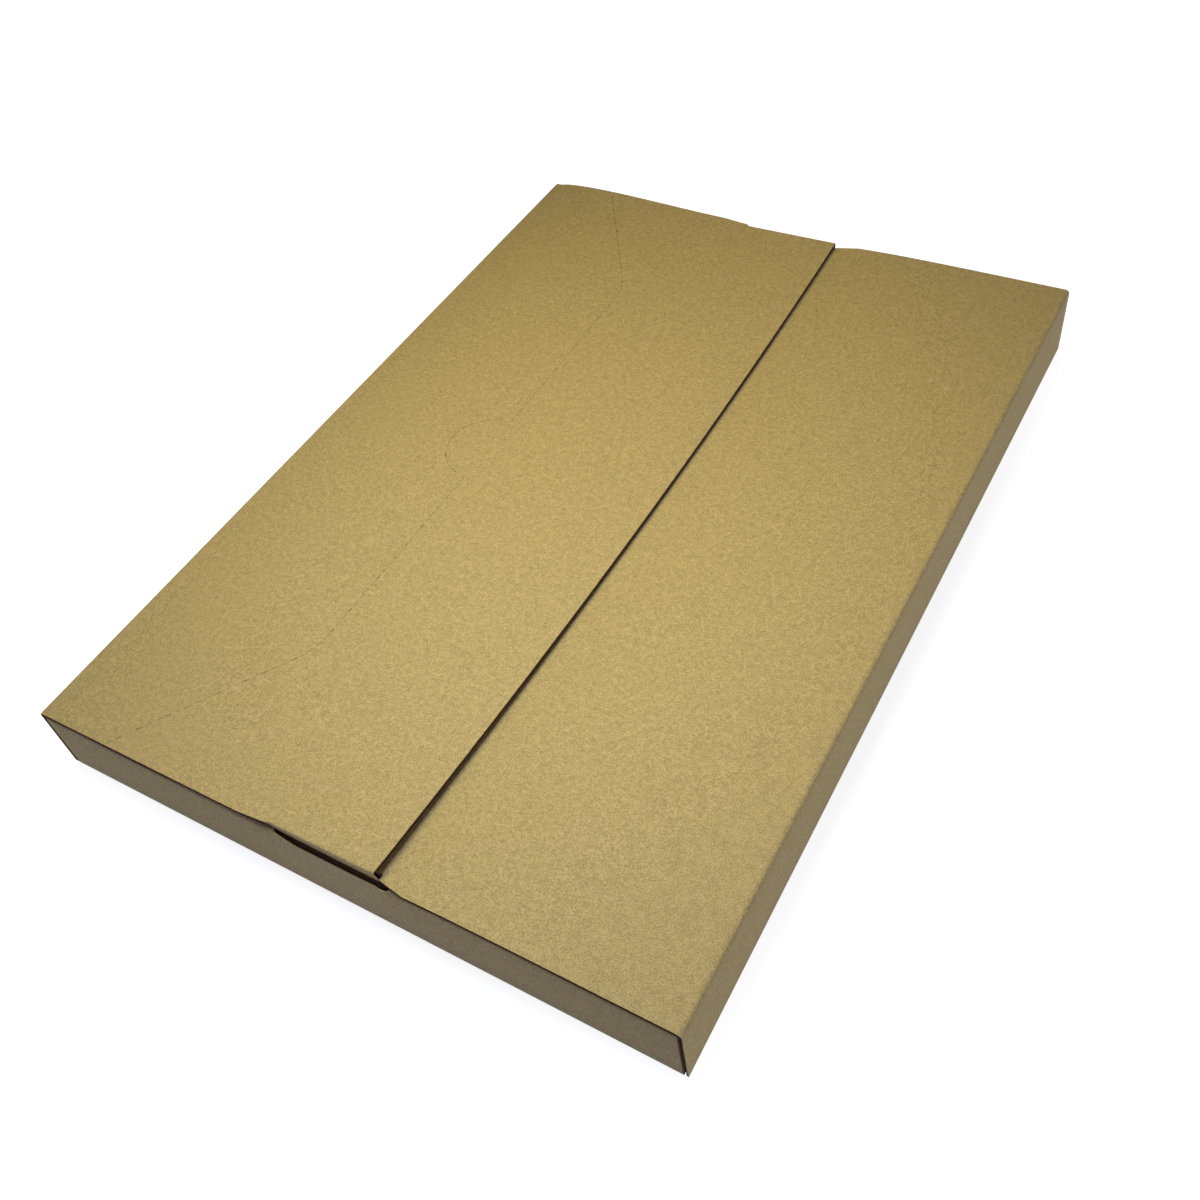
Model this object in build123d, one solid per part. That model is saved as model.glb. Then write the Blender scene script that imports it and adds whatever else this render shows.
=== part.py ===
from build123d import *
from math import atan2, cos, degrees, radians, sin, sqrt, tan
import os

# A shallow mailing box, folded from one sheet of corrugated board and lying closed on its
# base. The closing flap hinges on the left wall, crosses the top and lies on the right panel.
# An ear at each end of it is tucked into a slot in the front wall and in the back wall.
# While it is made, x runs from the left fold, y from the front and z from the table. At the
# end both solids move so that the origin is under the middle of the box. All in millimetres.

# Closed box, outside
length = 313.0              # front to back, along the seam
width = 223.6               # left to right
height = 28.1               # table to the top folds

# Corrugated board
board = 1.5                 # whole thickness
liner = 0.25                # each of its two faces
medium = 0.2                # the wavy sheet between them
flute_pitch = 3.3           # the waves run left to right across the sheet
mouth_depth = 2.0           # how far the open flutes are cut into an edge
groove_depth = 1.0          # how far an edge cut along a flute is open between the faces
fold_inside = 0.1           # inside radius of a fold
sheet_gap = 0.2             # between two layers that lie on each other
flat_strip = 3.0            # stays flat beside a top fold, before the sheet bows

# Closing flap
flap_reach_front = 130.7    # left fold to free edge, at the front end
flap_reach_back = 132.0     # the same at the back end: it is folded a little askew
front_lift = 2.7            # free edge above the top folds, at the front end
back_lift = 0.6             # the same at the back end
dish = 6.7                  # how far the middle of the free edge hangs below its ends
flap_bow = 2.0              # power of the bend from the fold to the free edge
swell_front = 0.3           # how far the flap springs up between fold and ears, at the front
swell_back = 1.7            # the same at the back end
swell_run = 90.0            # the swell's width, from the flat strip
swell_rise = 0.7            # power with which it rises from the fold
swell_fade = 2.0            # and with which it dies away
crease_gap = 0.2            # between flap and left wall along the mitred fold
taper_start = 83.0          # the flap's ends draw in from here to the ears
taper_inset = 0.7

# Ears and their slots
ear_width = 37.6
ear_below_lip = 11.0        # length of ear below the slot's lip
ear_taper = 3.0             # each side draws in by this at the tip
ear_corner = 4.0
ear_lean = 10.0             # degrees, towards the inside of the box
ear_fold = 1.0              # outside radius of the fold between flap and ear
ear_clearance = 0.3         # ear to slot lip, panel and inner flap
lip_depth = 4.3             # lip of the slot below the top folds
lip_end_rise = 0.6          # the lip rises a little towards the seam
lip_end_run = 8.0
slot_margin = 2.6           # slot beyond the ear, at its inner end
slot_slope = 7.5            # run of its sloping inner end
relief_depth = 4.9          # deeper nick at the seam end of the slot
relief_run = 1.5
relief_rise_run = 3.1
relief_past_seam = 0.7      # bottom of the nick, past the flap's edge

# Right panel and inner flaps
overlap = 29.0              # of the closing flap over the right panel
panel_bow = 1.4             # power of the panel's bend, at mid-length
panel_bow_ends = 5.0        # at its ends it dips only beside the seam
seam_gap = 0.3              # closing flap above the panel, over most of the seam
seam_gap_front = 2.6        # at the seam's front end
seam_gap_back = 0.8
seam_gap_fade = 4           # power with which the gaps at the ends close up
panel_relief = 1.4          # panel corner beyond the flap's free edge
chamfer_inset = 1.4
chamfer_run = 7.8
dust_depth = 45.0
dust_tilt = 9.5             # degrees, pushed down under the top
end_gap = 0.15              # front and back walls to the side walls

# Perforated tear line on the closing flap
tear_x = 65.8               # from the left fold
tear_start = 28.8           # where it meets the flap's end
tear_run = 56.7             # from the flap's end to its bend
tear_bend = 22.0
notch_radius = 15.0         # half-round thumb notch at mid-length
cut_length = 1.9
tie_length = 1.2
cut_width = 0.3

fold_outside = board + fold_inside
core = board - 2 * liner
fold_z = height - board - sheet_gap
lip_z = height - lip_depth
half_pitch = flute_pitch / 2
hidden = flap_reach_front - overlap
middle = Plane.XZ.offset(-length / 2)
far = 10 * board
grid_across = 12            # spans of a bowed sheet's grid, from its fold to its free edge
grid_along = 12             # and from front to back


def reach(y):
    """Distance from the left fold to the closing flap's free edge."""
    return flap_reach_front + (flap_reach_back - flap_reach_front) * y / length


def free_edge_rise(y):
    """Height of the closing flap's free edge above the top folds."""
    v = y / length
    return front_lift * (1 - v) + back_lift * v - dish * 4 * v * (1 - v)


def swell(x, y):
    """Height of the smooth swell beside the closing flap's fold."""
    t = min((x - flat_strip) / swell_run, 1)
    peak = swell_rise / (swell_rise + swell_fade)
    shape = (t / peak) ** swell_rise * ((1 - t) / (1 - peak)) ** swell_fade
    return (swell_front + (swell_back - swell_front) * y / length) * shape


def flap_rise(x, y):
    """Height of the closing flap's top above the top folds."""
    bend = ((x - flat_strip) / (reach(y) - flat_strip)) ** flap_bow
    return free_edge_rise(y) * bend + swell(x, y)


def panel_rise(x, y):
    """The same for the right panel, which lies just under the closing flap at the seam."""
    v = y / length
    front = (seam_gap_front - seam_gap) * (1 - v) ** seam_gap_fade
    back = (seam_gap_back - seam_gap) * v ** seam_gap_fade
    start = width - flat_strip
    bow = panel_bow_ends + (panel_bow - panel_bow_ends) * 4 * v * (1 - v)
    bend = min((start - x) / (start - reach(y)), 1) ** bow
    return (free_edge_rise(y) - board - seam_gap - front - back) * bend


def bowed_sheet(rise, x_from, x_to, below=0.0, thickness=board):
    """Sheet over the whole length whose top follows rise(x, y), lowered by below."""
    xs = [x_from + (x_to - x_from) * i / grid_across for i in range(grid_across + 1)]
    ys = [length * i / grid_along for i in range(grid_along + 1)]
    grid = [[Vector(x, y, height + rise(x, y) - below) for y in ys] for x in xs]
    top = Face.make_surface_from_array_of_points(grid)
    return extrude(top, amount=thickness, dir=(0, 0, -1))


def plan_prism(points):
    """Tall prism with a plan outline, to trim a bowed sheet with."""
    outline = make_face(Polyline(*points, close=True))
    return extrude(Pos(0, 0, height - far) * outline, 2 * far)


def across(points, thickness=board, span=length):
    """Sheet folded along points (x, z), as long as the box."""
    bend = fold_inside + board / 2
    section = Plane.XZ * trace(FilletPolyline(*points, radius=bend), thickness)
    return extrude(section, -span)


def along(points, thickness=board):
    """Sheet folded along points (y, z), from side wall to side wall."""
    bend = fold_inside + board / 2
    section = Plane.YZ * trace(FilletPolyline(*points, radius=bend), thickness)
    return Pos(board + end_gap, 0, 0) * extrude(section, width - 2 * (board + end_gap))


def both_ends(part):
    """The front part and its mirror image at the back."""
    return part + mirror(part, about=middle)


def end_grooves(points):
    """Open space between the faces of a folded sheet, at its front and back edges."""
    return both_ends(across(points, core, groove_depth))


def sheet_grooves(rise, x_from, x_to):
    """The same for a bowed sheet."""
    inner = bowed_sheet(rise, x_from, x_to, liner, core)
    band = Box(width, groove_depth, 4 * far, align=(Align.MIN, Align.MIN, Align.CENTER))
    return inner & both_ends(Pos(0, 0, height) * band)


def flute_mouth(up):
    """One open flute, a wedge pointing up or down in the edge of a sheet that faces +x."""
    half = half_pitch - medium
    peak = core / 2 - medium
    sign = 1 if up else -1
    base = -sign * core / 2
    wedge = Polyline((-half, base), (half, base), (0, sign * peak), close=True)
    return Pos(-mouth_depth, 0, 0) * extrude(Plane.YZ * make_face(wedge), mouth_depth + board)


def seam_mouths():
    """Open flutes all along the closing flap's free edge."""
    count = int((length - 4 * board) / half_pitch)
    mouths = []
    for i in range(count):
        y = length / 2 + (i - (count - 1) / 2) * half_pitch
        slope = degrees(atan2(free_edge_rise(y + 1) - free_edge_rise(y - 1), 2))
        z = height + free_edge_rise(y) - board / 2
        mouths.append(Pos(reach(y), y, z) * Rot(slope, 0, 0) * flute_mouth(i % 2 == 0))
    return mouths


def tear_cuts():
    """Short cuts in a row along the tear line."""
    mid = length / 2
    corners = [(tear_start, 0), (tear_x, tear_run), (tear_x, mid - notch_radius)]
    near = FilletPolyline(*corners, radius=tear_bend)
    notch = CenterArc((tear_x, mid), notch_radius, 90, 180)
    line = Wire(near.edges() + notch.edges() + mirror(near, about=middle).edges())
    count = int(line.length / (cut_length + tie_length))
    cuts = []
    for i in range(count):
        where = (i + 0.5) / count
        point, way = line @ where, line % where
        turn = Rot(0, 0, degrees(atan2(way.Y, way.X)))
        cuts.append(Pos(point.X, point.Y, height) * turn * Box(cut_length, cut_width, 2 * far))
    return cuts


def ear_face():
    """Outer face of the front ear, with its height measured from the slot's lip."""
    lean = radians(ear_lean)
    origin = (0, board + ear_clearance, lip_z)
    return Plane(origin, x_dir=(1, 0, 0), z_dir=(0, -cos(lean), -sin(lean)))


def ear_blank(reach_here, lift):
    """Front ear, reaching up past the flap's top surface."""
    x0, x1 = reach_here - ear_width, reach_here
    top, tip = lift + lip_depth + board, -ear_below_lip
    outline = Polyline(
        (x0, top), (x0, 0), (x0 + ear_taper, tip), (x1 - ear_taper, tip), (x1, 0), (x1, top), close=True
    )
    shape = make_face(outline)
    shape = fillet(shape.vertices().group_by(Axis.Y)[0], ear_corner)
    return extrude(ear_face() * shape, -board)


def ear_mouths(reach_here, lift):
    """Open flutes in both sides of the front ear, below the flap."""
    x0, x1 = reach_here - ear_width, reach_here
    mouths = []
    for i in range(2, int((lift + lip_depth - board + ear_below_lip) / half_pitch)):
        v = i * half_pitch - ear_below_lip
        drawn_in = max(-v, 0) * ear_taper / ear_below_lip
        for x, turn in ((x0 + drawn_in, 180), (x1 - drawn_in, 0)):
            place = ear_face().location * Pos(x, v, -board / 2) * Rot(0, turn, 0)
            mouths.append(place * flute_mouth(i % 2 == 0))
    return mouths


def finished_ear(blank, above):
    """Ear trimmed to the flap's top surface, with the fold between them rounded."""
    trimmed = blank - above
    long_edges = trimmed.edges().filter_by(lambda e: e.length > ear_width - ear_taper)
    return fillet(long_edges.sort_by(Axis.Z)[-1], ear_fold)


def slot(reach_here):
    """Everything that is cut away for an ear in the front wall and its inner flap."""
    x0, x1 = reach_here - ear_width - slot_margin, reach_here + relief_past_seam
    level_end = x1 - relief_run - lip_end_run
    points = [
        (x0, fold_z + board),
        (x0, fold_z),
        (x0 + slot_slope, lip_z),
        (level_end, lip_z),
        (x1 - relief_run, lip_z + lip_end_rise),
        (x1, height - relief_depth),
        (x1 + relief_rise_run, fold_z),
        (x1 + relief_rise_run, fold_z + board),
    ]
    outline = make_face(Polyline(*points, close=True))
    notch = extrude(Plane.XZ * outline, -board - ear_clearance, both=True)
    window = Box(x1 + relief_rise_run - x0, slot_reach(), lip_depth + board, align=Align.MIN)
    groove = Pos(x0 + slot_slope, liner, lip_z - groove_depth) * Box(
        level_end - x0 - slot_slope, core, 2 * groove_depth, align=Align.MIN
    )
    return notch + Pos(x0, board, lip_z) * window + groove


def slot_reach():
    """How far behind the wall's inside the ear needs room, at its tip."""
    lean = radians(ear_lean)
    return ear_below_lip * sin(lean) + board / cos(lean) + 2 * ear_clearance


def closing_flap(fold_strip):
    """Flap, ears and tear line."""
    lean = tan(radians(ear_lean))
    rounding = ear_fold / tan(radians((90 - ear_lean) / 2))
    front_join = board + ear_clearance - (lip_depth + front_lift) * lean + rounding
    back_join = length - board - ear_clearance + (lip_depth + back_lift) * lean - rounding
    x0, x1 = flap_reach_front, flap_reach_back
    beyond = max(x0, x1) + board
    outline = [
        (flat_strip, 0),
        (taper_start, 0),
        (x0 - ear_width, taper_inset),
        (x0 - ear_width, front_join),
        (x0, front_join),
        (x1, back_join),
        (x1 - ear_width, back_join),
        (x1 - ear_width, length - taper_inset),
        (taper_start, length),
        (flat_strip, length),
    ]
    sheet = bowed_sheet(flap_rise, flat_strip, beyond) & plan_prism(outline)
    sheet -= sheet_grooves(flap_rise, flat_strip, beyond)
    sheet -= seam_mouths()
    above = bowed_sheet(flap_rise, flat_strip, beyond, -far, far)
    front_ear = finished_ear(ear_blank(x0, front_lift), above) - ear_mouths(x0, front_lift)
    back_ear = finished_ear(mirror(ear_blank(x1, back_lift), about=middle), above)
    back_ear -= [mirror(mouth, about=middle) for mouth in ear_mouths(x1, back_lift)]
    return fold_strip + sheet + front_ear + back_ear - tear_cuts()


def room_for_panel():
    """All above the right panel's underside, where it presses on the folds that carry it."""
    below = board + sheet_gap / 2 - far
    return bowed_sheet(panel_rise, width - flat_strip, hidden - board, below, far)


def right_panel():
    """Panel under the closing flap, cut back at the corners to clear the ears."""
    inset = board + slot_reach()
    x0, x1 = flap_reach_front + panel_relief, flap_reach_back + panel_relief
    end = width - flat_strip
    outline = [
        (hidden, inset),
        (x0, inset),
        (x0, chamfer_inset),
        (x0 + chamfer_run, 0),
        (end, 0),
        (end, length),
        (x1 + chamfer_run, length),
        (x1, length - chamfer_inset),
        (x1, length - inset),
        (hidden, length - inset),
    ]
    sheet = bowed_sheet(panel_rise, end, hidden - board) & plan_prism(outline)
    return sheet - sheet_grooves(panel_rise, end, x0)


def end_wall():
    """Front wall with the inner flap that is folded in from it."""
    tilt = radians(dust_tilt)
    top = (board / 2, fold_z - board / 2)
    dust_end = (top[0] + dust_depth * cos(tilt), top[1] - dust_depth * sin(tilt))
    return along([(2 * fold_outside, board / 2), (board / 2, board / 2), top, dust_end])


def flap_side_of_fold(shift):
    """Space on the flap's side of the mitre through the left top fold."""
    d = shift / sqrt(2)
    a = 2 * board
    end = flat_strip + a
    points = [(-a, height + a), (a, height - a), (end, height - a), (end, height + a)]
    shape = Plane.XZ * make_face(Polyline(*points, close=True))
    return Pos(d, 0, d) * extrude(shape, -length)


def folded_band():
    """Base, side walls and the flat strips of both top panels, with rounded folds."""
    low, high = board / 2, height - board / 2
    left, right = board / 2, width - board / 2
    left_top = [(flat_strip, high), (left, high)]
    right_top = [(right, high), (width - flat_strip, high)]
    band = across([*left_top, (left, low), (right, low), *right_top])
    ends = RectangleRounded(length, 2 * height + far, fold_outside)
    band &= extrude(Plane.YZ * Pos(length / 2, height + far / 2) * ends, width)
    band -= end_grooves([*left_top, (left, fold_outside)])
    return band - end_grooves([(right, fold_outside), *right_top])


def main():
    band = folded_band()
    fold_strip = band & flap_side_of_fold(crease_gap / 2)
    body = band - flap_side_of_fold(-crease_gap / 2)
    body += both_ends(end_wall())
    body -= room_for_panel()
    body -= slot(flap_reach_front)
    body -= mirror(slot(flap_reach_back), about=middle)
    body += right_panel()
    os.makedirs("parts", exist_ok=True)
    to_row = Pos(-width / 2, -length / 2, 0)
    export_step(to_row * body, "parts/box_body.step")
    export_step(to_row * closing_flap(fold_strip), "parts/closing_flap.step")


main()
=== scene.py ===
import math

import bmesh
import bpy
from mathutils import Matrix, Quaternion, Vector


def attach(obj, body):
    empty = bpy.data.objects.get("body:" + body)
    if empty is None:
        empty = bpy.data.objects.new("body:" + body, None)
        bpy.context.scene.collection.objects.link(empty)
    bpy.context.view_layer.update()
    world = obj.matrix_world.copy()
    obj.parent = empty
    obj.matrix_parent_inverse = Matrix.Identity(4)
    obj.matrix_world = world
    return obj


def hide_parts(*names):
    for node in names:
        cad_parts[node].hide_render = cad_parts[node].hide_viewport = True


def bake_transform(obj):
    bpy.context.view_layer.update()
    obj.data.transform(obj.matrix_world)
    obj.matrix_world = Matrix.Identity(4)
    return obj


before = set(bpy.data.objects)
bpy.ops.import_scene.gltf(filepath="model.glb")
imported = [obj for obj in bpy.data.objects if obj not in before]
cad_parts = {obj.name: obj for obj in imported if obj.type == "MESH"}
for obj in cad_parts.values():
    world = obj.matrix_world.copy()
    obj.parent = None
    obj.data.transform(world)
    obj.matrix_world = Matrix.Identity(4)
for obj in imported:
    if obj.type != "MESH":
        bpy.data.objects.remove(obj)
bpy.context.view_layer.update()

MM = 0.001

# Box, in millimetres: x from the left fold, y from the front, z from the table
WIDTH = 223.6
LENGTH = 313.0
HEIGHT = 28.1
BOARD = 1.5
LINER = 0.25                    # each paper face
GROOVE = 1.0                    # how far the layer between the faces, dark with painted shade, is set back from the board's edges
FOLD_RADIUS = 1.6
FOLD_STEPS = 6                  # faces round a fold
BOTTOM = 5.0                    # the bottom folds lie below this
STRIP = 3.0                     # flat beside a top fold, before the sheet bows
LAYER_GAP = 0.2                 # between the top and the end walls' folds under it

# Closing flap
REACH = 130.7                   # left fold to free edge, at the front
ASKEW = 1.3                     # the free edge is this much further out at the back
FRONT_LIFT = 2.68               # free edge above the top folds
BACK_LIFT = 0.6
DISH = 6.7                      # how far its middle hangs below its ends
SWELL_FRONT = 0.3               # the flap springs up between its fold and its ears
SWELL_BACK = 1.7
SWELL_RUN = 90.0
SWELL_RISE = 0.7                # power with which the swell rises from the fold
SWELL_FADE = 2                  # and with which it dies away
SWELL_PEAK = 0.259              # share of its run at which these two powers make it highest
TAPER_START = 83.0              # its ends draw in from here to the ears
SKEW_RUN = (80.0, 93.0)         # the skew grows from none to all between these
EAR_WIDTH = 37.6
EAR_BELOW_LIP = 11.0
EAR_TAPER = 3.0
EAR_CORNER = 4.0
EAR_LEAN = 10.0                 # degrees
EAR_FOLD = 1.1
EAR_STEPS = 4                   # round its fold and round each corner
EAR_CLEARANCE = 0.3             # to the wall's inner face, at the slot's lip
EAR_START_IN = 0.15             # its fold starts this much further in than it ends
EAR_CUTS = (2.2, 2.9, 3.6)      # depths of the cuts that let the ear's root bend
SEAM_WAVES_IN = 2.3             # the waves of the free edge stop this short of its ends

# Slot for the ear, in each end wall
WALL_TOP = HEIGHT - BOARD - LAYER_GAP
LIP = HEIGHT - 4.3              # the ear bends here
SLOT_LIP = LIP + 0.5            # the wall's edge beside the ear
SLOT_LIP_RISE = 0.4             # towards the seam
NICK = HEIGHT - 4.4             # bottom of the slot, beside the seam
SLOT_MARGIN = 0.3               # from the ear's far side to the slot's start
NICK_PAST_SEAM = 0.7
SLOT_SLOPE = 8.0                # run of its sloping start
LIP_RISE_RUN = (9.5, 1.5)       # the lip rises between these distances before the nick
NICK_RISE = 3.1                 # run from the nick's bottom up to the wall's top
EAR_ROOM = 5.5                  # from the wall's face to the inner flap behind the ear

# Right panel and inner flaps
OVERLAP = 29.0
PANEL_START = REACH + 0.15      # where it ends beside the ear; past the ear it reaches under the flap
CHAMFER_IN = 1.6
CHAMFER_RUN = 9.0
EAR_BACK = 3.5                  # the ear is no deeper than this where it passes the panel
PANEL_WAVES_IN = EAR_BACK + 1.3
PANEL_SKEW_RUN = (160.0, 145.0)
SEAM_GAP = 0.7                  # closing flap above the panel at the free edge
SEAM_GAP_FRONT = 3.2
SEAM_GAP_BACK = 0.8
GAP_FADE_FRONT = 3.5            # powers with which the gaps at the ends close up
GAP_FADE_BACK = 4
PANEL_BOW = 1.4                 # power of the panel's bend at mid-length
PANEL_BOW_ENDS = 5.0            # at its ends it dips only beside the seam
INNER_FLAP = 45.0
INNER_TILT = 9.5                # degrees, pushed down under the top
PRESS_START = REACH + 2.0       # the end walls give way to the panel from here to the right
PRESS_SPARE = 0.1               # by this much less than the panel dips
PRESS_FROM = 15.0               # above this height
PRESS_FADE = (3.0, 20.0)        # and less and less between these distances from the end
END_GAP = 0.15                  # end walls to side walls
SPLIT = 6.0                     # the left wall's sheet ends under the base, this far in

# Waves between the faces, and the tear line
PITCH = LENGTH / 95
WAVE_DEPTH = 3.0
WAVE_PAPER = 0.2
WAVE_STEPS = 12                 # faces along one wave
TEAR_X = 65.8                   # its lengthwise stretch, from the left fold
TEAR_START = 28.8               # its start, at each end of the flap
TEAR_RUN = 56.7                 # from there it slants, and meets the lengthwise stretch this far in
TEAR_BEND = 22.0                # radius of the bend where they meet
BEND_STEPS = 8
NOTCH = 15.0                    # radius of the thumb notch
NOTCH_STEPS = 12                # in half of it
CUT = 1.9
CUT_PITCH = 3.1
CUT_WIDTH = 0.11                # narrowest of the cuts
CUT_SPREAD = 0.14               # the widest ones are wider by this
CUT_DEPTH = 8.0                 # through the sheet
CUT_TURN = 2.4                  # radians from one cut to the next, so that widths look uneven

GRID = 4.0                      # spacing of the cuts that let a sheet bow
TOP_LAYERS = 2.0                # the flat top sheets lie within this of the top

# Camera, as the photograph was taken: held over the box's front right corner
LENS = 37.441                   # mm on the sensor's width
SENSOR = 36.0
CAMERA_AT = Vector((181.168, -248.611, 321.217)) * MM
CAMERA_AIM = Vector((11.166, -25.998, 0.0)) * MM
CAMERA_ROLL = math.radians(10.182)              # the box's right side hangs lower

# Lamps: name, place, aim, size, watts, colour and spread in degrees
LAMPS = (
    ("key", (-0.11, 0.12, 0.42), (0.04, -0.05, 0), 0.2, 0.257, "#FFEA70", 90),
    ("top", (0.02, -0.09, 0.28), (0.02, -0.08, 0), 0.12, 0.625, "#DCE8FF", 180),
    ("front_fill", (0, -1.1, 0.35), (0, 0, 0), 0.5, 1.63, "#7D8FFF", 180),
    ("right_fill", (1.1, 0, 0.35), (0, 0, 0), 0.5, 3.1, "#E0E3FF", 180),
)


def linear(hex_colour, alpha=1.0):
    """sRGB hex to the linear colour that sockets take."""
    parts = [int(hex_colour[i:i + 2], 16) / 255 for i in (1, 3, 5)]
    return tuple(p / 12.92 if p <= 0.04045 else ((p + 0.055) / 1.055) ** 2.4 for p in parts) + (alpha,)


def add(tree, kind, links=None, inputs=None, **settings):
    """A node with its settings, its input values and its links, as socket: source socket."""
    node = tree.nodes.new(kind)
    for name, value in settings.items():
        setattr(node, name, value)
    for socket, value in (inputs or {}).items():
        node.inputs[socket].default_value = value
    for socket, source in (links or {}).items():
        tree.links.new(source, node.inputs[socket])
    return node


def new_material(name):
    material = bpy.data.materials.new(name)
    material.use_nodes = True
    tree = material.node_tree
    tree.nodes.clear()
    return material, tree


def at(x, y, z):
    """A place on the box, from its millimetres."""
    return Vector((x - WIDTH / 2, y - LENGTH / 2, z)) * MM


def on_box(co):
    """The millimetres of a place on the box."""
    return Vector((co.x / MM + WIDTH / 2, co.y / MM + LENGTH / 2, co.z / MM))


def select(kind, test):
    """Select the vertices, edges or faces whose middle passes the test, in edit mode."""
    bpy.ops.mesh.select_mode(type=kind)
    bpy.ops.mesh.select_all(action="DESELECT")
    data = bpy.context.edit_object.data
    mesh = bmesh.from_edit_mesh(data)
    items = {"VERT": mesh.verts, "EDGE": mesh.edges, "FACE": mesh.faces}[kind]
    for item in items:
        corners = [item] if kind == "VERT" else item.verts
        middle = sum((v.co for v in corners), Vector()) / len(corners)
        if test(*on_box(middle)):
            item.select_set(True)
    mesh.select_flush_mode()
    bmesh.update_edit_mesh(data)


def near(a, b, slack=0.05):
    return abs(a - b) < slack


def extrude(x, y, z):
    bpy.ops.mesh.extrude_edges_move(TRANSFORM_OT_translate={"value": Vector((x, y, z)) * MM})


def move(x, y, z):
    bpy.ops.transform.translate(value=Vector((x, y, z)) * MM)


def bevel(test, radius, segments, affect="EDGES"):
    select("EDGE" if affect == "EDGES" else "VERT", test)
    bpy.ops.mesh.bevel(offset=radius * MM, offset_type="OFFSET", segments=segments, affect=affect)


def cut_at(direction, place, test=None, **clear):
    """Cut along a plane, all through or only the faces that pass the test."""
    if test:
        select("FACE", test)
    else:
        bpy.ops.mesh.select_all(action="SELECT")
    bpy.ops.mesh.bisect(plane_co=at(*place), plane_no=direction, threshold=1e-6, **clear)


def new_sheet(name, x0, x1, y0, y1, z=0.0):
    """Start a sheet as a flat panel, in edit mode."""
    bpy.ops.object.select_all(action="DESELECT")
    bpy.ops.mesh.primitive_plane_add(size=1, location=at((x0 + x1) / 2, (y0 + y1) / 2, z))
    sheet = bpy.context.object
    sheet.name = name
    sheet.scale = ((x1 - x0) * MM, (y1 - y0) * MM, 1)
    bpy.ops.object.transform_apply(location=True, rotation=True, scale=True)
    bpy.ops.object.mode_set(mode="EDIT")
    return sheet


def face_out(test, outside):
    """Turn all faces the same way, with the face that passes the test looking outside."""
    bpy.ops.mesh.select_all(action="SELECT")
    bpy.ops.mesh.normals_make_consistent(inside=False)
    mesh = bmesh.from_edit_mesh(bpy.context.edit_object.data)
    probe = next(f for f in mesh.faces if test(*on_box(f.calc_center_median())))
    if probe.normal.dot(Vector(outside)) < 0:
        bpy.ops.mesh.flip_normals()


def copy_of(piece, name):
    twin = piece.copy()
    twin.data = piece.data.copy()
    twin.name = name
    bpy.context.scene.collection.objects.link(twin)
    return twin


def only(piece):
    bpy.ops.object.select_all(action="DESELECT")
    piece.select_set(True)
    bpy.context.view_layer.objects.active = piece


def apply(piece, kind, **settings):
    only(piece)
    modifier = piece.modifiers.new("step", kind)
    for name, value in settings.items():
        setattr(modifier, name, value)
    bpy.ops.object.modifier_apply(modifier=modifier.name)


def thicken(sheet, top, bottom, face, back):
    """Give a sheet's copy the space from top to bottom, measured in from its outer face."""
    thickness = bottom - top
    sheet.data.materials.append(face)
    sheet.data.materials.append(back)
    apply(sheet, "SOLIDIFY", thickness=thickness * MM, offset=-2 * top / thickness - 1, use_even_offset=True,
          material_offset=1)


def set_back(sheet, trims):
    """Take a rim off all round a sheet, so that its edges show a gap between the faces, dark with real shade
    and with the painted shade on their inner sides.
    """
    only(sheet)
    bpy.ops.object.mode_set(mode="EDIT")
    bpy.ops.mesh.select_mode(type="FACE")
    bpy.ops.mesh.select_all(action="SELECT")
    bpy.ops.mesh.inset(use_boundary=True, thickness=GROOVE * MM)
    bpy.ops.mesh.select_all(action="INVERT")
    bpy.ops.mesh.delete(type="FACE")
    for test, direction, place in trims:
        cut_at(direction, place, test, clear_outer=True)
    bpy.ops.object.mode_set(mode="OBJECT")


def corrugated(sheet, liner, flutes_and_shade, folds, trims=(), cutter=None):
    """Turn a sheet with sharp folds into board: two paper faces, and the waves between them, set back
    from the edges."""
    bpy.ops.object.mode_set(mode="OBJECT")
    core = copy_of(sheet, "core")
    set_back(core, trims)
    for layer in (sheet, core):
        only(layer)
        bpy.ops.object.mode_set(mode="EDIT")
        for fold in folds:
            bevel(*fold)
        bpy.ops.object.mode_set(mode="OBJECT")
    inner = copy_of(sheet, "inner_face")
    # The faces' inner sides take the dark fluting colour, painted shade: in the board they are kraft like
    # the outer sides
    thicken(sheet, 0.0, LINER, liner, flutes_and_shade)
    thicken(inner, BOARD - LINER, BOARD, flutes_and_shade, liner)
    # The layer between the faces is one dark solid, standing for the waves and for painted shade in the
    # hollows between them
    thicken(core, LINER, BOARD - LINER, flutes_and_shade, flutes_and_shade)
    if cutter:
        for layer in (sheet, inner, core):
            apply(layer, "BOOLEAN", object=cutter, operation="DIFFERENCE", solver="EXACT")
    join(sheet, inner, core)


def join(first, *others):
    bpy.ops.object.select_all(action="DESELECT")
    for piece in (first, *others):
        piece.select_set(True)
    bpy.context.view_layer.objects.active = first
    bpy.ops.object.join()


def grid(piece, x0, x1):
    """Cut a piece crosswise and lengthwise, so that it can bow."""
    only(piece)
    bpy.ops.object.mode_set(mode="EDIT")
    bpy.ops.mesh.select_mode(type="FACE")
    for i in range(1, round(LENGTH / GRID)):
        cut_at((0, 1, 0), (0, i * GRID, 0))
    for i in range(round((x1 - x0) / GRID) + 1):
        cut_at((1, 0, 0), (x0 + i * GRID, 0, 0))
    bpy.ops.object.mode_set(mode="OBJECT")


def bow(piece, shift):
    """Move each point by what shift says of its place."""
    for vertex in piece.data.vertices:
        vertex.co += Vector(shift(*on_box(vertex.co))) * MM


def smooth(piece, degrees=30):
    only(piece)
    bpy.ops.object.shade_smooth_by_angle(angle=math.radians(degrees))


def share(value, start, end):
    """0 at start, 1 at end, in between by its place."""
    return min(max((value - start) / (end - start), 0), 1)


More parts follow.
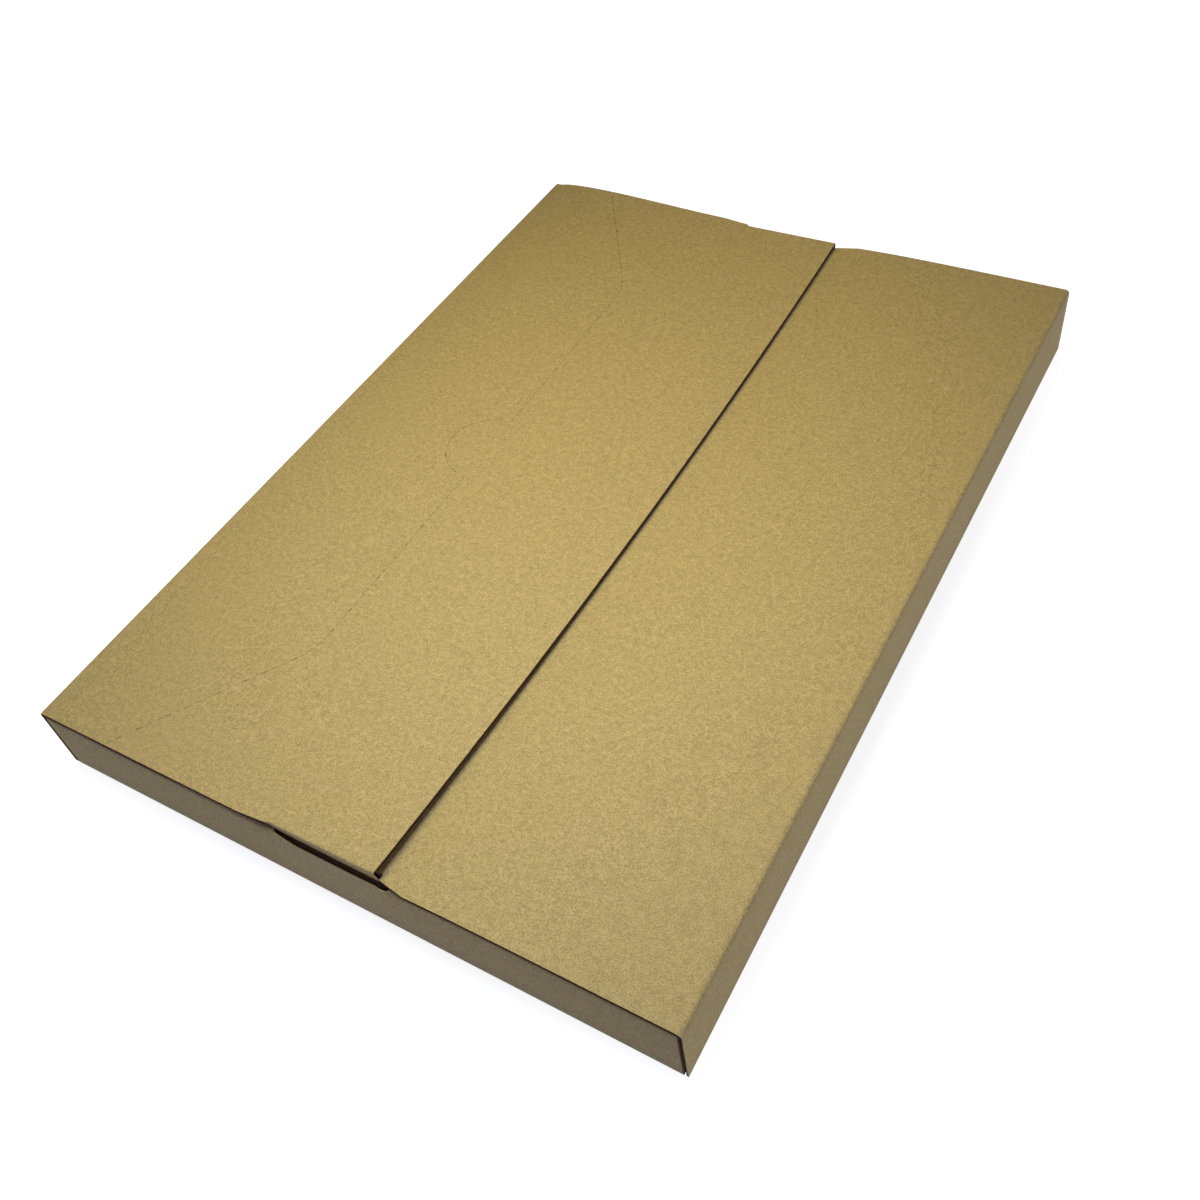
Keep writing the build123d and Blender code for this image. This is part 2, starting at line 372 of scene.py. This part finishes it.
def edge_rise(y):
    """Closing flap's free edge above the top folds."""
    v = y / LENGTH
    return FRONT_LIFT * (1 - v) + BACK_LIFT * v - DISH * 4 * v * (1 - v)


def flap_rise(x, y):
    """Closing flap above the top folds: bent more and more towards its free edge, and swollen."""
    v = y / LENGTH
    reach = REACH + ASKEW * v
    t = share(x, STRIP, STRIP + SWELL_RUN)
    across = (t / SWELL_PEAK) ** SWELL_RISE * ((1 - t) / (1 - SWELL_PEAK)) ** SWELL_FADE
    swell = across * (SWELL_FRONT + (SWELL_BACK - SWELL_FRONT) * v)
    return edge_rise(y) * (max(x - STRIP, 0) / (reach - STRIP)) ** 2 + swell


def panel_rise(x, y):
    """Right panel above the top folds, so that it ends below the closing flap."""
    v = y / LENGTH
    start = WIDTH - STRIP
    front = (SEAM_GAP_FRONT - SEAM_GAP) * (1 - v) ** GAP_FADE_FRONT
    back = (SEAM_GAP_BACK - SEAM_GAP) * v ** GAP_FADE_BACK
    gap = SEAM_GAP + front + back
    power = PANEL_BOW_ENDS - (PANEL_BOW_ENDS - PANEL_BOW) * 4 * v * (1 - v)
    return (edge_rise(y) - BOARD - gap) * share(x, start, REACH + ASKEW * v) ** power


def flap_shift(x, y, z):
    if x < STRIP:
        return 0, 0, 0
    fade = share(z, LIP, HEIGHT - BOARD)
    askew = ASKEW * y / LENGTH * share(x, *SKEW_RUN)
    return askew, 0, flap_rise(x + askew, y) * fade


def panel_shift(x, y, z):
    if z < HEIGHT - TOP_LAYERS or x > WIDTH - STRIP:
        return 0, 0, 0
    askew = ASKEW * y / LENGTH * share(x, *PANEL_SKEW_RUN)
    return askew, 0, panel_rise(x + askew, y)


def tuck(x, y, z):
    """Base and side walls' bottom folds end where the end walls' bottom folds begin."""
    wanted = 2 * FOLD_RADIUS * (1 - share(z, 0, FOLD_RADIUS))
    if x < BOARD or x > WIDTH - BOARD:
        wanted = FOLD_RADIUS * (1 - math.sqrt(1 - (1 - share(z, 0, FOLD_RADIUS)) ** 2))
    inside = min(max(y, wanted), LENGTH - wanted)
    return 0, inside - y, 0


def on_circle(centre, radius, angle):
    return centre + radius * Vector((math.cos(angle), math.sin(angle)))


def tear_line():
    """Place and direction of each cut along the tear line."""
    quarter = math.pi / 2
    slope = math.atan2(TEAR_RUN, TEAR_X - TEAR_START)
    turn = quarter - slope
    tangent = TEAR_BEND * math.tan(turn / 2)
    points = [Vector((TEAR_START, 0))]
    centre = Vector((TEAR_X - TEAR_BEND, TEAR_RUN + tangent))
    points += [on_circle(centre, TEAR_BEND, -turn + turn * i / BEND_STEPS) for i in range(BEND_STEPS + 1)]
    notch = Vector((TEAR_X, LENGTH / 2))
    points += [on_circle(notch, NOTCH, -quarter - quarter * i / NOTCH_STEPS) for i in range(NOTCH_STEPS + 1)]
    points += [Vector((p.x, LENGTH - p.y)) for p in reversed(points[:-1])]
    runs = [(b - a).length for a, b in zip(points, points[1:])]
    count = int(sum(runs) / CUT_PITCH)
    places = []
    for i in range(count):
        left = (i + 0.5) / count * sum(runs)
        for a, b, run in zip(points, points[1:], runs):
            if left <= run:
                break
            left -= run
        places.append((a.lerp(b, left / run), math.atan2(b.y - a.y, b.x - a.x)))
    return places


def tear_cutter():
    """One thin blade, copied to each cut, to take out of the flap."""
    bpy.ops.object.select_all(action="DESELECT")
    blades = []
    for i, (place, angle) in enumerate(tear_line()):
        width = CUT_WIDTH + CUT_SPREAD * (0.5 + 0.5 * math.sin(i * CUT_TURN)) ** 2
        bpy.ops.mesh.primitive_cube_add(size=1, location=at(place.x, place.y, HEIGHT),
                                        rotation=(0, 0, angle))
        blade = bpy.context.object
        blade.scale = (CUT * MM, width * MM, CUT_DEPTH * MM)
        blades.append(blade)
    join(*blades)
    bpy.ops.object.transform_apply(location=True, rotation=True, scale=True)
    return bpy.context.object


def wave_edge(name, x, towards, inset, material):
    """The waves as a cut across them shows: one wave, repeated from front to back."""
    bpy.ops.object.select_all(action="DESELECT")
    middle = x - towards * WAVE_DEPTH / 2
    bpy.ops.mesh.primitive_grid_add(x_subdivisions=1, y_subdivisions=WAVE_STEPS, size=1,
                                    location=at(middle, PITCH / 2, 0))
    wave = bpy.context.object
    wave.name = name
    wave.scale = (WAVE_DEPTH * MM, PITCH * MM, 1)
    bpy.ops.object.transform_apply(location=True, rotation=True, scale=True)
    height = (BOARD - 2 * LINER - WAVE_PAPER) / 2
    bow(wave, lambda x, y, z: (0, 0, HEIGHT - BOARD / 2 + height * math.cos(2 * math.pi * y / PITCH)))
    apply(wave, "ARRAY", count=round(LENGTH / PITCH), use_relative_offset=False, use_constant_offset=True,
          constant_offset_displace=(0, PITCH * MM, 0), use_merge_vertices=True, merge_threshold=0.01 * MM)
    bpy.ops.object.mode_set(mode="EDIT")
    cut_at((0, -1, 0), (0, inset, 0), clear_outer=True)
    cut_at((0, 1, 0), (0, LENGTH - inset, 0), clear_outer=True)
    bpy.ops.object.mode_set(mode="OBJECT")
    apply(wave, "SOLIDIFY", thickness=WAVE_PAPER * MM, offset=0)
    wave.data.materials.append(material)
    return wave


def make_flap(liner, flutes_and_shade):
    """Left wall, its fold, the closing flap and its two ears, as one sheet."""
    sheet = new_sheet("closing_sheet", 0, SPLIT, 0, LENGTH)
    ear_start = REACH - EAR_WIDTH
    ear_middle = REACH - EAR_WIDTH / 2
    select("EDGE", lambda x, y, z: near(x, 0))
    extrude(0, 0, HEIGHT)
    extrude(TAPER_START, 0, 0)
    extrude(ear_start - TAPER_START, 0, 0)
    extrude(EAR_WIDTH, 0, 0)
    lean = math.tan(math.radians(EAR_LEAN))
    for end, inward in ((0, 1), (LENGTH, -1)):
        lift = FRONT_LIFT if end == 0 else BACK_LIFT
        top_in = BOARD + EAR_CLEARANCE - (HEIGHT + lift - LIP) * lean
        select("VERT", lambda x, y, z: near(y, end) and near(x, ear_start))
        move(0, inward * (top_in + EAR_START_IN), 0)
        select("VERT", lambda x, y, z: near(y, end) and near(x, REACH))
        move(0, inward * top_in, 0)
        lip_in = BOARD + EAR_CLEARANCE - top_in
        select("EDGE", lambda x, y, z: near(x, ear_middle, 1) and near(y, end, 2))
        extrude(0, inward * lip_in, LIP - HEIGHT)
        extrude(0, inward * EAR_BELOW_LIP * lean, -EAR_BELOW_LIP)
        for side, x_tip in ((1, ear_start), (-1, REACH)):
            select("VERT", lambda x, y, z: near(z, LIP - EAR_BELOW_LIP) and near(x, x_tip)
                   and near(y, end, 10))
            move(side * EAR_TAPER, 0, 0)
    face_out(lambda x, y, z: near(z, HEIGHT) and near(x, 40, 30), (0, 0, 1))
    folds = (
        (lambda x, y, z: near(x, 0) and (near(z, 0) or near(z, HEIGHT)), FOLD_RADIUS, FOLD_STEPS),
        (lambda x, y, z: near(z, HEIGHT) and near(x, ear_middle, 2) and not near(y, LENGTH / 2, 150),
         EAR_FOLD, EAR_STEPS),
        (lambda x, y, z: z < LIP - EAR_BELOW_LIP + 1.5 and x > TAPER_START,
         EAR_CORNER, EAR_STEPS, "VERTICES"),
    )
    seam = (None, (1, 0, 0), (REACH - WAVE_DEPTH, 0, 0))
    bpy.ops.object.mode_set(mode="OBJECT")
    cutter = tear_cutter()
    only(sheet)
    corrugated(sheet, liner, flutes_and_shade, folds, (seam,), cutter)
    bpy.data.objects.remove(cutter)
    waves = wave_edge("seam_waves", REACH, 1, SEAM_WAVES_IN, flutes_and_shade)
    join(sheet, waves)
    grid(sheet, STRIP, REACH)
    for depth in EAR_CUTS:
        only(sheet)
        bpy.ops.object.mode_set(mode="EDIT")
        cut_at((0, 0, 1), (0, 0, HEIGHT - depth))
        bpy.ops.object.mode_set(mode="OBJECT")
    bow(sheet, flap_shift)
    bow(sheet, lambda x, y, z: tuck(x, y, z) if x < SPLIT + 1 and z < BOTTOM else (0, 0, 0))
    smooth(sheet)
    return sheet


def make_base(liner, flutes_and_shade):
    """Base, right wall and right panel, as one sheet."""
    sheet = new_sheet("base_sheet", SPLIT, WIDTH, 0, LENGTH)
    select("EDGE", lambda x, y, z: near(x, WIDTH))
    extrude(0, 0, HEIGHT)
    chamfer_end = PANEL_START + CHAMFER_RUN
    extrude(chamfer_end - WIDTH, 0, 0)
    extrude(-CHAMFER_RUN, 0, 0)
    for end, inward in ((0, 1), (LENGTH, -1)):
        select("VERT", lambda x, y, z: near(y, end) and near(x, PANEL_START))
        move(0, inward * CHAMFER_IN, 0)
        cut_at((0, 1, 0), (0, end + inward * EAR_BACK, 0))
    hidden = REACH - OVERLAP
    select("EDGE", lambda x, y, z: near(x, PANEL_START) and near(z, HEIGHT)
           and EAR_BACK < y < LENGTH - EAR_BACK)
    extrude(hidden - PANEL_START, 0, 0)
    face_out(lambda x, y, z: near(z, HEIGHT) and near(x, 180, 40), (0, 0, 1))
    folds = (
        (lambda x, y, z: near(x, WIDTH) and (near(z, 0) or near(z, HEIGHT)), FOLD_RADIUS, FOLD_STEPS),
    )
    hidden_edge = (lambda x, y, z: near(z, HEIGHT), (-1, 0, 0), (hidden + WAVE_DEPTH, 0, 0))
    corrugated(sheet, liner, flutes_and_shade, folds, (hidden_edge,))
    waves = wave_edge("panel_waves", hidden, -1, PANEL_WAVES_IN, flutes_and_shade)
    join(sheet, waves)
    grid(sheet, hidden, WIDTH - STRIP)
    bow(sheet, panel_shift)
    bow(sheet, lambda x, y, z: tuck(x, y, z) if z < BOTTOM else (0, 0, 0))
    smooth(sheet)
    return sheet


def make_end(name, reach, liner, flutes_and_shade):
    """End wall with its slot and the inner flap folded in from it, built at the front."""
    side = BOARD + END_GAP
    sheet = new_sheet(name, side, WIDTH - side, 0, 2 * FOLD_RADIUS)
    tilt = math.radians(INNER_TILT)
    select("EDGE", lambda x, y, z: near(y, 0))
    extrude(0, 0, WALL_TOP)
    extrude(0, EAR_ROOM, -EAR_ROOM * math.tan(tilt))
    extrude(0, INNER_FLAP - EAR_ROOM, -(INNER_FLAP - EAR_ROOM) * math.tan(tilt))
    start = reach - EAR_WIDTH + SLOT_MARGIN
    nick = reach + NICK_PAST_SEAM
    finish = nick + NICK_RISE
    slot = (
        (start, WALL_TOP),
        (start + SLOT_SLOPE, SLOT_LIP),
        (nick - LIP_RISE_RUN[0], SLOT_LIP),
        (nick - LIP_RISE_RUN[1], SLOT_LIP + SLOT_LIP_RISE),
        (nick, NICK),
        (finish, WALL_TOP),
    )
    for x_slot, _ in slot:
        cut_at((1, 0, 0), (x_slot, 0, 0))
    select("FACE", lambda x, y, z: start < x < finish and 0.1 < y < EAR_ROOM and z > LIP)
    bpy.ops.mesh.delete(type="FACE")
    for x_slot, height in slot:
        select("VERT", lambda x, y, z: near(x, x_slot) and near(y, 0) and near(z, WALL_TOP))
        move(0, 0, height - WALL_TOP)
    face_out(lambda x, y, z: near(y, 0) and 5 < z < 20, (0, -1, 0))
    folds = (
        (lambda x, y, z: near(y, 0) and near(z, 0), FOLD_RADIUS, FOLD_STEPS),
        (lambda x, y, z: near(y, 0) and near(z, WALL_TOP) and not start < x < finish,
         FOLD_RADIUS, FOLD_STEPS),
    )
    corrugated(sheet, liner, flutes_and_shade, folds)
    grid(sheet, side, WIDTH - side)
    bow(sheet, end_shift)
    smooth(sheet)
    return sheet


def end_shift(x, y, z):
    """The wall's top and the start of its inner flap, pressed down under the panel."""
    if x < PRESS_START:
        return 0, 0, 0
    dip = min(panel_rise(x, 0) + PRESS_SPARE, 0)
    return 0, 0, dip * share(z, PRESS_FROM, WALL_TOP - BOARD) * (1 - share(y, *PRESS_FADE))


def mirrored(piece):
    """Turn a front piece into a back one."""
    only(piece)
    bpy.ops.object.mode_set(mode="EDIT")
    bpy.ops.mesh.select_all(action="SELECT")
    bpy.ops.transform.resize(value=(1, -1, 1), center_override=(0, 0, 0))
    bpy.ops.mesh.flip_normals()
    bpy.ops.object.mode_set(mode="OBJECT")


def kraft_liner():
    """Unbleached kraft liner board: matt with hardly any sheen, and speckled light and dark, since the
    fibres pressed into it differ in colour."""
    material, tree = new_material("kraft_liner")
    place = add(tree, "ShaderNodeTexCoord").outputs["Object"]
    # Fibre bundles of about 0.4 mm, in clouds of 1.6 mm
    speckle = add(tree, "ShaderNodeTexNoise", {"Vector": place}, {"Scale": 1 / (0.42 * MM), "Detail": 2.0})
    mottle = add(tree, "ShaderNodeTexNoise", {"Vector": place}, {"Scale": 1 / (1.6 * MM), "Detail": 2.0})
    both = add(tree, "ShaderNodeMix", {"A": speckle.outputs["Fac"], "B": mottle.outputs["Fac"]},
               {"Factor": 0.25})
    sharp = add(tree, "ShaderNodeMapRange", {"Value": both.outputs["Result"]},
                {"From Min": 0.375, "From Max": 0.625})
    tone = add(tree, "ShaderNodeMix", {"Factor": sharp.outputs["Result"]}, data_type="RGBA")
    tone.inputs["A"].default_value = linear("#9A8658")
    tone.inputs["B"].default_value = linear("#C2AA70")
    # Dark flecks of bark, 0.4 to 0.7 mm wide and about 10 mm apart
    grit = add(tree, "ShaderNodeTexVoronoi", {"Vector": place}, {"Scale": 1 / (10 * MM)})
    fleck = add(tree, "ShaderNodeMapRange", {"Value": grit.outputs["Distance"]},
                {"From Min": 0.02, "From Max": 0.035, "To Min": 0.55, "To Max": 0.0})
    dark = add(tree, "ShaderNodeMix", {"Factor": fleck.outputs["Result"], "A": tone.outputs["Result"]},
               data_type="RGBA")
    dark.inputs["B"].default_value = linear("#4A3520")
    bump = add(tree, "ShaderNodeBump", {"Height": speckle.outputs["Fac"]},
               {"Strength": 0.2, "Distance": 0.03 * MM})
    paper = add(tree, "ShaderNodeBsdfPrincipled",
                {"Base Color": dark.outputs["Result"], "Normal": bump.outputs["Normal"]},
                {"Roughness": 0.57, "Specular IOR Level": 0.075})
    add(tree, "ShaderNodeOutputMaterial", {"Surface": paper.outputs["BSDF"]})
    return material


def flute_paper_and_shade():
    """Recycled fluting paper between the faces: dark brown, rough and dull. The brown is darker than the
    paper itself, painted shade for the insides of the open flutes.
    """
    material, tree = new_material("flute_paper_and_shade")
    place = add(tree, "ShaderNodeTexCoord").outputs["Object"]
    fibre = add(tree, "ShaderNodeTexNoise", {"Vector": place}, {"Scale": 1 / (0.4 * MM), "Detail": 3.0})
    tone = add(tree, "ShaderNodeMix", {"Factor": fibre.outputs["Fac"]}, data_type="RGBA")
    # Near-black browns: the fluting's own brown, darkened with painted shade of the flutes' hollows
    tone.inputs["A"].default_value = linear("#291509")
    tone.inputs["B"].default_value = linear("#4C2F18")
    paper = add(tree, "ShaderNodeBsdfPrincipled", {"Base Color": tone.outputs["Result"]}, {"Roughness": 0.9})
    add(tree, "ShaderNodeOutputMaterial", {"Surface": paper.outputs["BSDF"]})
    return material


def make_camera():
    data = bpy.data.cameras.new("camera")
    data.lens = LENS
    data.sensor_width = SENSOR
    data.clip_start = 0.01
    camera = bpy.data.objects.new("camera", data)
    bpy.context.scene.collection.objects.link(camera)
    look = CAMERA_AIM - CAMERA_AT
    camera.location = CAMERA_AT
    camera.rotation_mode = "QUATERNION"
    camera.rotation_quaternion = look.to_track_quat("-Z", "Y") @ Quaternion((0, 0, 1), -CAMERA_ROLL)
    bpy.context.scene.camera = camera


def make_lamp(name, place, aim, size, power, colour, spread):
    data = bpy.data.lights.new(name, "AREA")
    data.shape = "SQUARE"
    data.size = size
    data.energy = power
    data.color = linear(colour)[:3]
    data.spread = math.radians(spread)
    lamp = bpy.data.objects.new(name, data)
    bpy.context.scene.collection.objects.link(lamp)
    lamp.location = Vector(place)
    lamp.rotation_mode = "QUATERNION"
    lamp.rotation_quaternion = (Vector(aim) - Vector(place)).to_track_quat("-Z", "Y")


def behind_object(tree):
    """Where the camera looks past the object, or sees it in glass or metal."""
    path = add(tree, "ShaderNodeLightPath")
    seen = path.outputs["Is Camera Ray"]
    for ray in ("Is Glossy Ray", "Is Transmission Ray"):
        seen = add(tree, "ShaderNodeMath", {0: seen, 1: path.outputs[ray]}, operation="MAXIMUM").outputs[0]
    return seen


def make_world():
    world = bpy.data.worlds.new("studio")
    bpy.context.scene.world = world
    world.use_nodes = True
    tree = world.node_tree
    tree.nodes.clear()
    light = add(tree, "ShaderNodeBackground", inputs={"Color": (1, 1, 1, 1), "Strength": 0.1})
    white = add(tree, "ShaderNodeBackground", inputs={"Color": (1, 1, 1, 1), "Strength": 1.0})
    mix = add(tree, "ShaderNodeMixShader",
              {0: behind_object(tree), 1: light.outputs[0], 2: white.outputs[0]})
    add(tree, "ShaderNodeOutputWorld", {"Surface": mix.outputs[0]})


def make_floor():
    """White paper sweep, lit up behind the object and brighter away from it, so that its corners stay white
    and the shadow beside the object shows."""
    bpy.ops.object.select_all(action="DESELECT")
    bpy.ops.mesh.primitive_plane_add(size=6.0)
    floor = bpy.context.object
    floor.name = "floor"
    material, tree = new_material("white_paper_sweep")
    paint = add(tree, "ShaderNodeBsdfPrincipled", inputs={"Base Color": linear("#C5C6CA"), "Roughness": 0.9})
    paint.inputs["Emission Color"].default_value = (1, 1, 1, 1)
    place = add(tree, "ShaderNodeTexCoord").outputs["Object"]
    away = add(tree, "ShaderNodeVectorMath", {0: place}, operation="LENGTH")
    brighter = add(tree, "ShaderNodeMapRange", {"Value": away.outputs["Value"]},
                   {"From Min": 0.12, "From Max": 0.3, "To Min": 0.8, "To Max": 1.0})
    glow = add(tree, "ShaderNodeMath", {0: behind_object(tree), 1: brighter.outputs["Result"]},
               operation="MULTIPLY")
    tree.links.new(glow.outputs[0], paint.inputs["Emission Strength"])
    add(tree, "ShaderNodeOutputMaterial", {"Surface": paint.outputs["BSDF"]})
    floor.data.materials.append(material)


kraft = kraft_liner()
flutes_and_shade = flute_paper_and_shade()

flap = make_flap(kraft, flutes_and_shade)
base = make_base(kraft, flutes_and_shade)
front = make_end("front_end", REACH, kraft, flutes_and_shade)
back = make_end("back_end", REACH + ASKEW, kraft, flutes_and_shade)
mirrored(back)

for piece in (base, front, back):
    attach(piece, "box_body")
    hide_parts("box_body")
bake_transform(flap)
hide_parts("closing_flap")

make_camera()
make_world()
make_floor()
for lamp in LAMPS:
    make_lamp(*lamp)
bpy.context.scene.view_settings.view_transform = "Standard"
